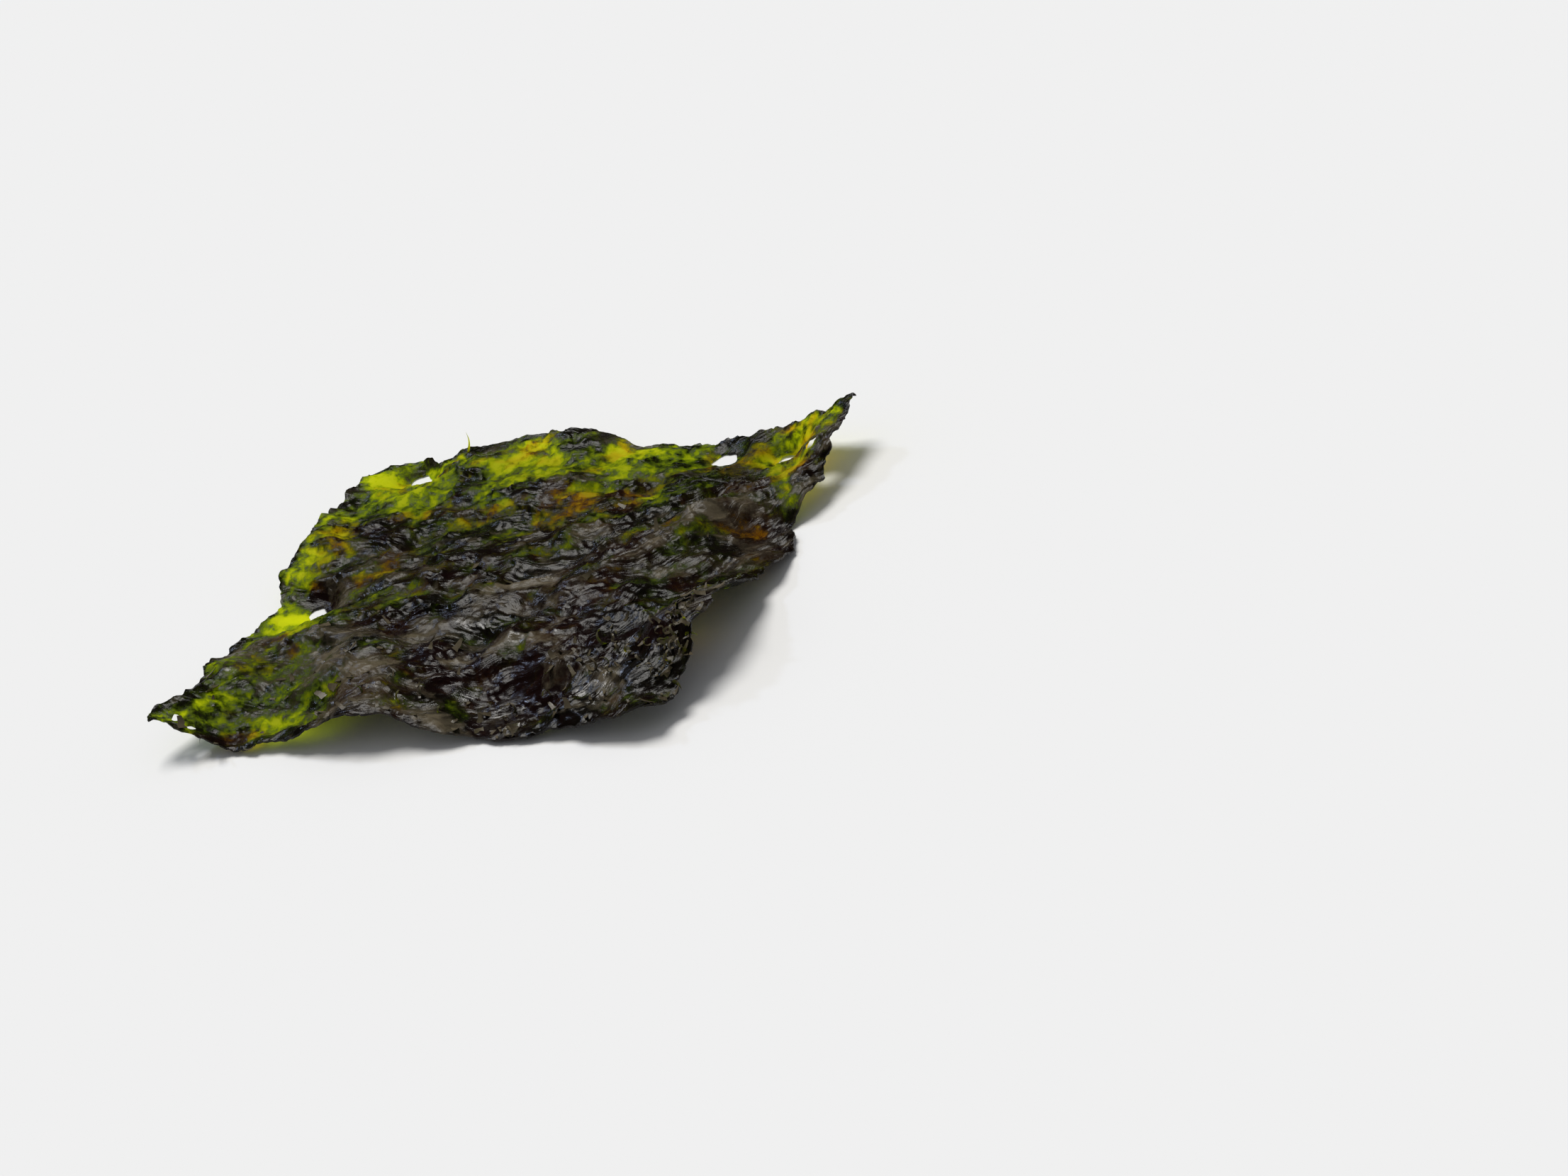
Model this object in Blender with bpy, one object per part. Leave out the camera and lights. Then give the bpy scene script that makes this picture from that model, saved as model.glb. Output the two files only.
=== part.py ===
"""A dried seaweed sheet: one crisp cut square of roasted laver.

The sheet lies on its own low spots, with X along the front edge, Y towards the back and +Z up.
The origin is the middle of the bounding box's bottom. Sizes are in millimetres until the mesh
is made, which is in metres.
"""

import math
from typing import NamedTuple

import bmesh
import bpy
from mathutils import Vector, noise

MM = 0.001

# Driving dimensions, in millimetres.
WIDTH = 72.0
DEPTH = 64.0
THICKNESS = 0.5
CELL = 1.6
REST_HEIGHT = 2.7

# Crinkles of the dried blades: pitch and height of each of the two sizes.
COARSE_PITCH = 9.0
COARSE_HEIGHT = 1.3
FINE_PITCH = 4.6
FINE_HEIGHT = 0.7

# The cut edge: how far crumbs are missing from it, how often, and how far in the mesh follows.
CRUMB_DEPTH = 1.0
CRUMB_PITCH = 4.0
EDGE_REACH = 8.0

# Colour and surface of roasted laver, as linear values.
LAVER_COLOUR = (0.022, 0.026, 0.010, 1.0)
LAVER_ROUGHNESS = 0.45


class Swell(NamedTuple):
    """A broad rise or dip of the sheet: its centre, its height and its two radii."""

    x: float
    y: float
    height: float
    radius_x: float
    radius_y: float


class Fold(NamedTuple):
    """A long low ridge or furrow between two points, with its height and its half width."""

    start: tuple
    end: tuple
    height: float
    half_width: float


class Nick(NamedTuple):
    """A bite out of a cut edge: its place along the edge, its depth and its half width."""

    place: float
    depth: float
    half_width: float


class Hole(NamedTuple):
    """A hole through the sheet: its centre and its radius."""

    x: float
    y: float
    radius: float


SWELLS = {
    "left tip, bent up": Swell(-36.0, -32.0, 3.5, 9.0, 9.0),
    "front edge, left low spot": Swell(-23.5, -32.0, -3.7, 9.0, 10.0),
    "front edge, middle rise": Swell(-6.0, -32.0, 2.1, 9.0, 12.0),
    "front edge, right low spot": Swell(13.5, -32.0, -2.5, 11.0, 10.0),
    "front right corner": Swell(36.0, -32.0, -0.5, 8.0, 6.0),
    "right edge, front rise": Swell(36.0, -15.5, 4.2, 8.0, 8.5),
    "right edge, low spot": Swell(36.0, 9.0, -2.7, 9.0, 8.0),
    "back right corner, curled up": Swell(36.0, 32.0, 3.2, 10.0, 10.0),
    "back edge, low spot": Swell(10.0, 32.0, -2.5, 9.5, 12.0),
    "back edge, rise": Swell(-6.0, 32.0, 0.3, 9.0, 12.0),
    "back left corner, bent down": Swell(-36.0, 32.0, -2.5, 9.0, 9.0),
    "left edge, low spot": Swell(-36.0, -6.5, -2.2, 9.0, 8.0),
    "front middle, blown up": Swell(-12.0, -20.5, 1.1, 6.0, 4.5),
    "low spot at the back left hole": Swell(-26.5, 26.0, -1.9, 5.5, 5.0),
    "low spot at the left hole": Swell(-27.2, -2.6, -2.6, 6.0, 5.0),
    "low spot at the back right hole": Swell(17.6, 27.0, -1.5, 5.0, 4.5),
    "low spot at the corner's hole": Swell(26.3, 25.5, -3.4, 5.0, 5.5),
}

FOLDS = {
    "left crease": Fold((-35.0, -9.5), (-15.0, -13.5), 0.9, 2.2),
    "left middle crease": Fold((-19.0, 1.0), (-5.0, 2.0), 0.7, 2.2),
    "front middle crease": Fold((-14.0, -17.0), (1.0, -17.5), 0.6, 2.2),
    "middle crease": Fold((-2.0, -5.0), (11.0, -5.5), 0.7, 2.2),
    "diagonal crease": Fold((12.0, -4.0), (23.0, 9.0), 0.9, 2.4),
    "right crease": Fold((23.0, 11.5), (35.0, 14.0), 0.8, 2.2),
    "front right crease": Fold((16.0, -20.5), (33.0, -17.0), 0.8, 2.2),
    "front bowl": Fold((3.0, -24.5), (14.0, -27.0), -0.9, 3.4),
    "back furrow": Fold((-23.0, 16.0), (2.0, 11.0), -0.7, 3.2),
}

# Bites out of each cut edge, read from the outline that shows.
LEFT_NICKS = (
    Nick(-33.0, 1.3, 2.0),
    Nick(-24.0, 2.3, 4.5),
    Nick(-1.0, 1.6, 2.6),
    Nick(11.0, 1.0, 5.0),
)
RIGHT_NICKS = (
    Nick(-30.5, 2.6, 3.0),
    Nick(-25.0, 1.8, 1.6),
    Nick(-20.5, 1.0, 1.6),
    Nick(11.5, 2.4, 3.2),
)
FRONT_NICKS = (
    Nick(-2.0, 0.8, 3.0),
    Nick(34.5, 1.5, 2.6),
)
BACK_NICKS = (
    Nick(-35.5, 2.6, 3.2),
    Nick(-24.5, 1.2, 2.4),
    Nick(5.0, 1.4, 3.6),
)

# Holes that light shows through, as large as one cell of the mesh.
HOLES = (
    Hole(-27.9, 28.2, 1.1),
    Hole(-28.2, -2.2, 0.9),
    Hole(17.0, 28.2, 1.2),
    Hole(26.3, 26.3, 0.9),
    Hole(32.2, 23.7, 0.7),
)


def crinkle(x, y):
    """Height of the small crinkles at a place on the sheet."""
    coarse = noise.noise(Vector((x / COARSE_PITCH, y / COARSE_PITCH, 3.7)))
    fine = noise.noise(Vector((x / FINE_PITCH, y / FINE_PITCH, 8.2)))
    return COARSE_HEIGHT * coarse + FINE_HEIGHT * fine


def swell_height(x, y):
    """Sum of the broad rises and dips at a place on the sheet."""
    total = 0.0
    for swell in SWELLS.values():
        across = (x - swell.x) / swell.radius_x
        along = (y - swell.y) / swell.radius_y
        total += swell.height * math.exp(-across * across - along * along)
    return total


def fold_height(x, y):
    """Sum of the long ridges and furrows at a place on the sheet."""
    total = 0.0
    for fold in FOLDS.values():
        start = Vector(fold.start)
        run = Vector(fold.end) - start
        share = (Vector((x, y)) - start).dot(run) / run.length_squared
        nearest = start + run * min(1.0, max(0.0, share))
        distance = (Vector((x, y)) - nearest).length / fold.half_width
        total += fold.height * math.exp(-distance * distance)
    return total


def underside(x, y):
    """Height of the sheet's lower face above the ground, flat where it touches."""
    return max(0.0, REST_HEIGHT + swell_height(x, y) + fold_height(x, y) + crinkle(x, y))


def missing(place, nicks, row):
    """How far the cut edge has crumbled inwards at a place along it."""
    crumbs = noise.noise(Vector((place / CRUMB_PITCH, row, 1.3)))
    depth = CRUMB_DEPTH * max(0.0, crumbs)
    for nick in nicks:
        offset = (place - nick.place) / nick.half_width
        depth += nick.depth * math.exp(-offset * offset)
    return depth


def pull(distance):
    """How strongly a crumbled edge pulls a point that lies this far from the cut line."""
    return max(0.0, 1.0 - distance / EDGE_REACH) ** 2


def outline_place(x, y):
    """Move a point of the full cut square inwards, to where the crumbled edges leave it."""
    left = missing(y, LEFT_NICKS, 11.0) * pull(x + WIDTH / 2)
    right = missing(y, RIGHT_NICKS, 23.0) * pull(WIDTH / 2 - x)
    front = missing(x, FRONT_NICKS, 37.0) * pull(y + DEPTH / 2)
    back = missing(x, BACK_NICKS, 41.0) * pull(DEPTH / 2 - y)
    return x + left - right, y + front - back


def laver_material():
    """Dark green-brown roasted laver with a low oily shine."""
    material = bpy.data.materials.new("roasted_laver")
    material.use_nodes = True
    shader = material.node_tree.nodes["Principled BSDF"]
    shader.inputs["Base Color"].default_value = LAVER_COLOUR
    shader.inputs["Roughness"].default_value = LAVER_ROUGHNESS
    shader.inputs["Metallic"].default_value = 0.0
    return material


def open_hole(shape, hole):
    """Take out the cell nearest to the hole's centre and round its corners to the radius."""
    centre = Vector((hole.x, hole.y)) * MM
    cell = min(shape.faces, key=lambda face: (face.calc_center_median().xy - centre).length)
    middle = cell.calc_center_median().xy
    for corner in cell.verts:
        corner.co.xy = centre + (corner.co.xy - middle).normalized() * hole.radius * MM
    bmesh.ops.delete(shape, geom=[cell], context="FACES_ONLY")


def lower_face():
    """The sheet's lower face: a grid bent to the waves, each cell split into two triangles."""
    shape = bmesh.new()
    columns = round(WIDTH / CELL)
    rows = round(DEPTH / CELL)
    bmesh.ops.create_grid(shape, x_segments=columns, y_segments=rows, size=0.5)
    for vertex in shape.verts:
        x, y = outline_place(vertex.co.x * WIDTH, vertex.co.y * DEPTH)
        vertex.co = Vector((x, y, underside(x, y))) * MM
    for hole in HOLES:
        open_hole(shape, hole)
    bmesh.ops.triangulate(shape, faces=shape.faces[:], quad_method="SHORT_EDGE")
    return shape


def seaweed_sheet():
    """The closed sheet: the lower face raised by the thickness, so both faces are alike."""
    shape = lower_face()
    raised = bmesh.ops.extrude_face_region(shape, geom=shape.faces[:], use_keep_orig=True)
    upper = [item for item in raised["geom"] if isinstance(item, bmesh.types.BMVert)]
    bmesh.ops.translate(shape, verts=upper, vec=(0.0, 0.0, THICKNESS * MM))
    bmesh.ops.recalc_face_normals(shape, faces=shape.faces[:])
    mesh = bpy.data.meshes.new("seaweed_sheet")
    shape.to_mesh(mesh)
    shape.free()
    mesh.materials.append(laver_material())
    sheet = bpy.data.objects.new("seaweed_sheet", mesh)
    bpy.context.scene.collection.objects.link(sheet)
    return sheet


def main():
    """Clear the scene and build the sheet."""
    for leftover in list(bpy.data.objects):
        bpy.data.objects.remove(leftover)
    seaweed_sheet()


main()
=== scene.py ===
"""Looks of a dried seaweed sheet: one crisp cut square of roasted, oiled laver on a pale floor.

The sheet is one closed thin skin over the solid's own waves, with fine crinkles, a crumbled edge
and holes. Its colour comes from how many laver blades lie over each other at each place, with a
painted grey sheen mixed in along the ridges and a painted yellow-green glow on the thin places.
Sizes are in millimetres until a mesh is made, which is in metres.
"""

import logging
import math
import random
from collections.abc import Callable
from dataclasses import dataclass, field
from enum import Enum
from typing import Any

import bmesh
import bpy
import numpy as np
from mathutils import Matrix, Vector, noise
from mathutils.bvhtree import BVHTree


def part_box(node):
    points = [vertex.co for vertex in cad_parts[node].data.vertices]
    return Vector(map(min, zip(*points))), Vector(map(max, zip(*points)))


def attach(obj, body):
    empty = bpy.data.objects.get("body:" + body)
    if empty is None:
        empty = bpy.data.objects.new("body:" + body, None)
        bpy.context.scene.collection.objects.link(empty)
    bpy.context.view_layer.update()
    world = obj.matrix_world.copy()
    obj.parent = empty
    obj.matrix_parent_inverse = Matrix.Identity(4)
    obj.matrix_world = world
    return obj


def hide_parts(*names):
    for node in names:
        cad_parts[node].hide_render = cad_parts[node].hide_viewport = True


MM = 0.001
NODE = "seaweed_sheet"
BODY = "root"
SWIRL_SEED = 5
SHARP_DEG = 60.0
MOST_LAYERS = 5.0

# Short names for the long types.
Corner = bmesh.types.BMVert
Finish = bpy.types.Material
Pair = tuple[float, float]
Shape = bmesh.types.BMesh
Socket = bpy.types.NodeSocket
Thing = bpy.types.Object
Tree = bpy.types.NodeTree

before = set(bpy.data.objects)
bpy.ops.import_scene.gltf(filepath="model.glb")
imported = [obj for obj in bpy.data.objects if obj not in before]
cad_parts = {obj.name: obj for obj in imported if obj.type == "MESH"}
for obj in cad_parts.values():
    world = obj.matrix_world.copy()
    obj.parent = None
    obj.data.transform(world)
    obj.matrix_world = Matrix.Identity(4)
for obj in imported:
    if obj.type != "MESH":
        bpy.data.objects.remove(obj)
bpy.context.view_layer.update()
log = logging.getLogger("seaweed")


@dataclass(frozen=True)
class Swell:
    """A broad rise or dip: its centre, its height and its two radii."""

    x: float
    y: float
    height: float
    radius_x: float
    radius_y: float


@dataclass(frozen=True)
class Fold:
    """A long low ridge or furrow between two points, with its height and half width."""

    start: Pair
    end: Pair
    height: float
    half_width: float


@dataclass(frozen=True)
class Nick:
    """A bite out of a cut edge: its place along the edge, its depth and its half width."""

    place: float
    depth: float
    half_width: float


@dataclass(frozen=True)
class Hole:
    """A hole: its centre, its two radii, its long side's turn, and whether it lies on the floor."""

    x: float
    y: float
    radius_x: float
    radius_y: float
    turn_deg: float = 0.0
    down: bool = False


@dataclass(frozen=True)
class Patch:
    """An area where the blades lie thinner or thicker, are greener or browner, or carry more painted grey
    sheen.
    """

    x: float
    y: float
    radius_x: float
    radius_y: float
    layers: float = 0.0
    rust: float = 0.0
    painted_sheen: float = 0.0
    turn_deg: float = 0.0


SWELLS = {
    "left tip, bent up": Swell(-36, -32, 3.5, 9, 9),
    "front edge, left low spot": Swell(-23.5, -32, -3.7, 9, 10),
    "front edge, middle rise": Swell(-6, -32, 2.1, 9, 12),
    "front edge, right low spot": Swell(13.5, -32, -2.5, 11, 10),
    "front right corner": Swell(36, -32, -0.5, 8, 6),
    "right edge, front rise": Swell(36, -15.5, 4.2, 8, 8.5),
    "right edge, low spot": Swell(36, 9, -2.7, 9, 8),
    "back right corner, curled up": Swell(36, 32, 3.2, 10, 10),
    "back edge, low spot": Swell(10, 32, -2.5, 9.5, 12),
    "back edge, rise": Swell(-6, 32, 0.3, 9, 12),
    "back left corner, bent down": Swell(-36, 32, -2.5, 9, 9),
    "left edge, low spot": Swell(-36, -6.5, -2.2, 9, 8),
    "front middle, blown up": Swell(-12, -20.5, 1.1, 6, 4.5),
    "low spot at the back left hole": Swell(-26.5, 26, -1.9, 5.5, 5),
    "low spot at the left hole": Swell(-27.2, -2.6, -2.6, 6, 5),
    "low spot at the back right hole": Swell(17.6, 27, -1.5, 5, 4.5),
    "low spot at the corner's hole": Swell(26.3, 25.5, -3.4, 5, 5.5),
}

FOLDS = {
    "left crease": Fold((-35, -9.5), (-15, -13.5), 0.9, 2.2),
    "left middle crease": Fold((-19, 1), (-5, 2), 0.7, 2.2),
    "front middle crease": Fold((-14, -17), (1, -17.5), 0.6, 2.2),
    "middle crease": Fold((-2, -5), (11, -5.5), 0.7, 2.2),
    "diagonal crease": Fold((12, -4), (23, 9), 0.9, 2.4),
    "right crease": Fold((23, 11.5), (35, 14), 0.8, 2.2),
    "front right crease": Fold((16, -20.5), (33, -17), 0.8, 2.2),
    "front bowl": Fold((3, -24.5), (14, -27), -0.9, 3.4),
    "back furrow": Fold((-23, 16), (2, 11), -0.7, 3.2),
}


class Edge(Enum):
    """A cut edge of the sheet, with the row of noise that crumbles it."""

    LEFT = 11
    RIGHT = 23
    FRONT = 37
    BACK = 41


NICKS = {
    Edge.LEFT: (Nick(-33, 1.3, 2), Nick(-24, 2.3, 4.5), Nick(-1, 1.6, 2.6), Nick(11, 1, 5)),
    Edge.RIGHT: (Nick(-30.5, 2.6, 3), Nick(-25, 1.8, 1.6), Nick(-20.5, 1, 1.6), Nick(11.5, 2.4, 3.2)),
    Edge.FRONT: (Nick(-2, 0.8, 3), Nick(34.5, 1.5, 2.6)),
    Edge.BACK: (Nick(-35.5, 2.6, 3.2), Nick(-24.5, 1.2, 2.4), Nick(5, 1.4, 3.6)),
}

HOLES = (
    Hole(-27.9, 28.2, 1.4, 2, 25, True),
    Hole(-28.2, -2.2, 1.15, 1.8, 30, True),
    Hole(17, 28.2, 1.75, 1.5, 0, True),
    Hole(26.3, 26.3, 1.4, 1.8, 15, True),
    Hole(32.2, 23.7, 0.9, 1.1, 0),
    Hole(-32.4, -29.8, 0.55, 0.6, 0),
    Hole(-30.3, -30.4, 0.5, 0.65, 20),
)

# Where the blades lie thin or thick, where they are rusty, and where their colour carries more or less
# painted grey sheen. Thin places let light through and are also painted bright yellow-green, a painted glow.
PATCHES = {
    "left third": Patch(-36, -2, 13, 48, -0.9, -0.5),
    "back strip": Patch(-2, 33, 52, 15, -1.1, -0.45),
    "left tip": Patch(-31, -27, 9, 6, 0.4, -0.2),
    "back left glow": Patch(-28.5, 24.8, 6, 4.6, -3, -0.3, turn_deg=-20),
    "below the back left glow": Patch(-21, 17.5, 4.5, 3.5, 1),
    "left upper glow": Patch(-32.5, 6.6, 4.6, 3.4, -3.2, -0.5, turn_deg=-35),
    "between the left glows": Patch(-31.5, 0.4, 7, 1.7, 2.2, 0.2, 0.3, turn_deg=-14),
    "left amber": Patch(-31, 11.5, 2.8, 5, -1.4, 0.5, turn_deg=30),
    "left lower glow": Patch(-28, -5.4, 9, 3.4, -3.2, -0.5, turn_deg=-20),
    "front left grey-green": Patch(-32.5, -16, 3.2, 4.5, -0.8, -0.3, 0.4),
    "front left glow": Patch(-30.8, -26, 1.6, 1.2, -0.9, -0.3),
    "outer tip": Patch(-34, -31, 3, 1.8, -1.2, -0.1),
    "tip's front rim": Patch(-26, -30.2, 4.5, 1.8, 1.7, -0.4),
    "front left olive": Patch(-21, -23, 8, 8, -1, -0.4),
    "tip's middle": Patch(-30, -24.5, 5, 4, 0.7),
    "arch": Patch(-19, -28.5, 6.5, 3.6, -1.9, -0.5),
    "back glow, left": Patch(-10.5, 23.5, 2.4, 2.6, -1.7, -0.3),
    "back glow, middle": Patch(-8, 26.5, 3.4, 3.6, -2, -0.4),
    "back glow, right": Patch(5, 21.4, 3, 2.6, -2.3, -0.1),
    "back ring": Patch(-1.5, 23.6, 2.4, 2.2, -1.8, -0.1),
    "glow round the back right hole": Patch(17.2, 27, 4.5, 2.2, -1, -0.2),
    "back amber": Patch(2.6, 15.6, 2, 1.7, -1.9, 0.55, turn_deg=-20),
    "round the back amber": Patch(3.5, 17.5, 5, 2.5, 0.7, 0.2),
    "back olive": Patch(8, 16.5, 2.8, 3, -0.8, 0.1),
    "below the back glow": Patch(-10.5, 15.4, 5, 2.4, 0.5, -0.4),
    "back rim, green": Patch(-9.5, 31, 5, 2.2, 0.1, -0.35),
    "back rim, right, green": Patch(3.5, 27, 4, 3, 0.2, -0.35),
    "back right glow": Patch(15, 29, 4, 2.6, -0.5, -0.2),
    "corner glow": Patch(25.8, 28, 3, 3.6, -1, -0.1),
    "corner amber": Patch(31.5, 19, 2.4, 2.8, -1.5, 0.5),
    "corner rust": Patch(26.5, 16.5, 4, 2.4, 0.1, 0.8),
    "middle green": Patch(-9.5, 12.5, 4, 3, -1.2, -0.4),
    "middle rust": Patch(3, 4.8, 3, 2, -0.6, 0.7),
    "right maroon": Patch(31, 5.5, 5, 6.5, 1.7, 0.9),
    "below the corner": Patch(32.5, 12.5, 2.5, 2.5, 1, 0.3),
    "right crease": Patch(21.5, 8.4, 3.5, 2.5, 1, 0.2),
    "right rust": Patch(15, 4, 3, 2.6, -0.2, 0.7),
    "front maroon": Patch(-1, -18.5, 3, 2, 0, 1.2),
    "front bowl": Patch(8, -23.5, 6.5, 4.5, -0.3, 0.9, -0.8),
    # Darker at the bottom of the front bowl.
    "bowl's bottom": Patch(4.5, -24.5, 4.5, 3, 1.6, 0.6, -0.4),
    "above the bowl": Patch(8.3, -16.2, 2.8, 2.2, 1.2, 0.3),
    "front yellow speck": Patch(-13.6, -24, 1.4, 1.1, -2.4, 0.2),
    "middle yellow speck": Patch(5.9, -6.9, 1.1, 0.9, -2, 0.3),
    "left small glow": Patch(-24.8, 2.2, 1.6, 1.2, -1.4, -0.1),
    "thick middle": Patch(6, -6, 24, 14, 0.8, 0.25),
    "thick front": Patch(6, -27, 22, 9, 1.3, 0.1),
    "front sheen": Patch(-10, -22, 10, 8, 0.3, 0.2, 0.3),
    # Darker here: thicker blades and, in part, painted shade of a slope that faces away from the light; no
    # painted grey sheen.
    "front right slope, painted shade": Patch(26, -22, 9.5, 6.5, 2.3, 0.1, -1, turn_deg=20),
    "right fringe": Patch(33.5, -20, 3, 6, 1.2, -0.3),
    "left of the front": Patch(-21.5, -19, 4.5, 4, -1, -0.5, 0.6),
    "middle sheen": Patch(4, -3, 12, 5, 0.2, 0.1, 0.1, turn_deg=-10),
    "right sheen": Patch(26, 10, 8, 5, 0, 0.1, 0.3, turn_deg=10),
}


# Where the oil has pooled, which is where the small sharp glints are.
OIL = {
    "front bowl": Patch(6, -25.5, 7, 3),
    "front right": Patch(26, -21, 5, 4.5),
    "front right rim": Patch(22, -27.5, 7, 2.5),
    "middle, left": Patch(-1, -11.5, 5, 2),
    "middle, right": Patch(9.5, -15.5, 5, 2),
    "left slope": Patch(-29, -20, 2.5, 2),
    "left of the front": Patch(-21, -21, 2.5, 2),
    "front rim": Patch(-8, -27, 8, 2.5),
}


@dataclass(frozen=True)
class SheenStreak:
    """A line of painted grey sheen: its two ends, half width and strength."""

    start: Pair
    end: Pair
    half_width: float
    painted_sheen: float


# Lines along the ridges where the colour is mixed towards grey, a painted sheen.
SHEEN_STREAKS = {
    "left crease": SheenStreak((-31, -10.5), (-15, -13), 1.3, 0.8),
    "left slope": SheenStreak((-34, -13), (-29, -19), 2, 0.7),
    "left valley": SheenStreak((-22, -15), (-18, -22), 1.6, 0.9),
    "front left rim": SheenStreak((-25, -26), (-15, -28), 1.6, 0.8),
    "middle, left branch": SheenStreak((-4.5, 2.5), (-3, -5), 1.2, 0.8),
    "middle, rising": SheenStreak((0, -5), (6, -2.5), 1.1, 0.8),
    "middle, falling": SheenStreak((6, -2.5), (12.5, -6), 1.1, 0.7),
    "diagonal crease": SheenStreak((13, -3), (24, 9.5), 1.2, 0.6),
    "right crease": SheenStreak((24, 12), (34.5, 14), 1.3, 0.6),
    "right slope": SheenStreak((20, -2), (33, 3), 1.4, 0.4),
    "front right crease": SheenStreak((15, -20.5), (33, -16.5), 1.5, 0.9),
    "front right rim": SheenStreak((16, -30.5), (27, -28.5), 1.5, 0.7),
    "blown-up front": SheenStreak((-17.5, -19), (-6, -21.5), 2.6, 0.9),
    "front rim": SheenStreak((-14, -29.5), (3, -30), 1.3, 0.6),
}


def linear(code: str) -> tuple[float, float, float, float]:
    """Turn an sRGB hex colour into linear values.

    Args:
        code: The colour as six hex digits.

    Returns:
        Red, green, blue and alpha, with the colour made linear.
    """
    parts = [int(code[place:place + 2], 16) / 255.0 for place in (0, 2, 4)]
    # The curve of sRGB: a short straight start, then a power.
    red, green, blue = (part / 12.92 if part <= 0.04045 else ((part + 0.055) / 1.055) ** 2.4
                        for part in parts)
    return red, green, blue, 1.0


def add(tree: Tree, kind: str, inputs: dict[Any, Any] | None = None,
        **settings: Any) -> bpy.types.Node:
    """Add a node with its settings, its values and its links.

    Args:
        tree: The node tree that takes the node.
        kind: The node's type name.
        inputs: A value or another node's output socket for each input, by name or number.
        **settings: Values for the node's own properties.

    Returns:
        The new node.
    """
    node = tree.nodes.new(kind)
    for name, value in settings.items():
        setattr(node, name, value)
    for name, value in (inputs or {}).items():
        if isinstance(value, Socket):
            tree.links.new(value, node.inputs[name])
        else:
            node.inputs[name].default_value = value
    return node


def compute(tree: Tree, operation: str, *values: Any, clamp: bool = False) -> Socket:
    """Work out a sum, such as MULTIPLY_ADD, of numbers and sockets."""
    inputs = dict(enumerate(values))
    return add(tree, "ShaderNodeMath", inputs, operation=operation, use_clamp=clamp).outputs[0]


def attribute(tree: Tree, name: str, output: str = "Fac") -> Socket:
    """Read one of the values that each point of the mesh keeps."""
    return add(tree, "ShaderNodeAttribute", attribute_name=name).outputs[output]


def remap(tree: Tree, value: Socket, source: Pair, target: Pair) -> Socket:
    """Carry a value from one range over to another, and stop at its ends."""
    ranges = {"From Min": source[0], "From Max": source[1], "To Min": target[0], "To Max": target[1]}
    return add(tree, "ShaderNodeMapRange", {"Value": value, **ranges}).outputs[0]


def cloudy(tree: Tree, place: Socket, pitch: float, detail: float, **inputs: float) -> Socket:
    """Add noise with clouds about one pitch long."""
    values = {"Vector": place, "Scale": 1.0 / pitch, "Detail": detail, **inputs}
    return add(tree, "ShaderNodeTexNoise", values).outputs["Fac"]


class Blend(Enum):
    """What a mix node mixes: its name for that, its two inputs and its output."""

    NUMBERS = ("FLOAT", 2, 3, 0)
    COLOURS = ("RGBA", 6, 7, 2)


def mix(tree: Tree, blend: Blend, share: Socket, first: Any, second: Any) -> Socket:
    """Mix two numbers or two colours by the second one's share."""
    kind, one, other, output = blend.value
    return add(tree, "ShaderNodeMix", {0: share, one: first, other: second}, data_type=kind).outputs[output]


def ramp(tree: Tree, share: Socket, stops: dict[float, str]) -> Socket:
    """Add a colour ramp.

    Args:
        tree: The node tree that takes it.
        share: The place on the ramp, from 0 to 1.
        stops: A hex colour for each stop's place, in rising order.

    Returns:
        The colour.
    """
    node = add(tree, "ShaderNodeValToRGB", {"Fac": share})
    elements = node.color_ramp.elements
    elements.remove(elements[-1])
    (first, code), *others = stops.items()
    elements[0].position = first
    elements[0].color = linear(code)
    for place, code in others:
        elements.new(place).color = linear(code)
    return node.outputs["Color"]


def ridge(place: Vector, pitch: float, sharpness: float = 3.2) -> float:
    """Noise with sharp crests, from about -1 in the hollows to 1 on the crests."""
    return 1.0 - sharpness * abs(noise.noise(place / pitch))


def finished(name: str, shape: Shape, finish: Finish) -> Thing:
    """Turn a finished shape into an object of the scene.

    Args:
        name: The object's name.
        shape: The shape in metres, in its place. It is used up.
        finish: The material that it wears.

    Returns:
        The object.
    """
    mesh = bpy.data.meshes.new(name)
    shape.to_mesh(mesh)
    shape.free()
    mesh.shade_smooth()
    mesh.set_sharp_from_angle(angle=math.radians(SHARP_DEG))
    mesh.materials.append(finish)
    made = bpy.data.objects.new(name, mesh)
    bpy.context.scene.collection.objects.link(made)
    return made


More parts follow.
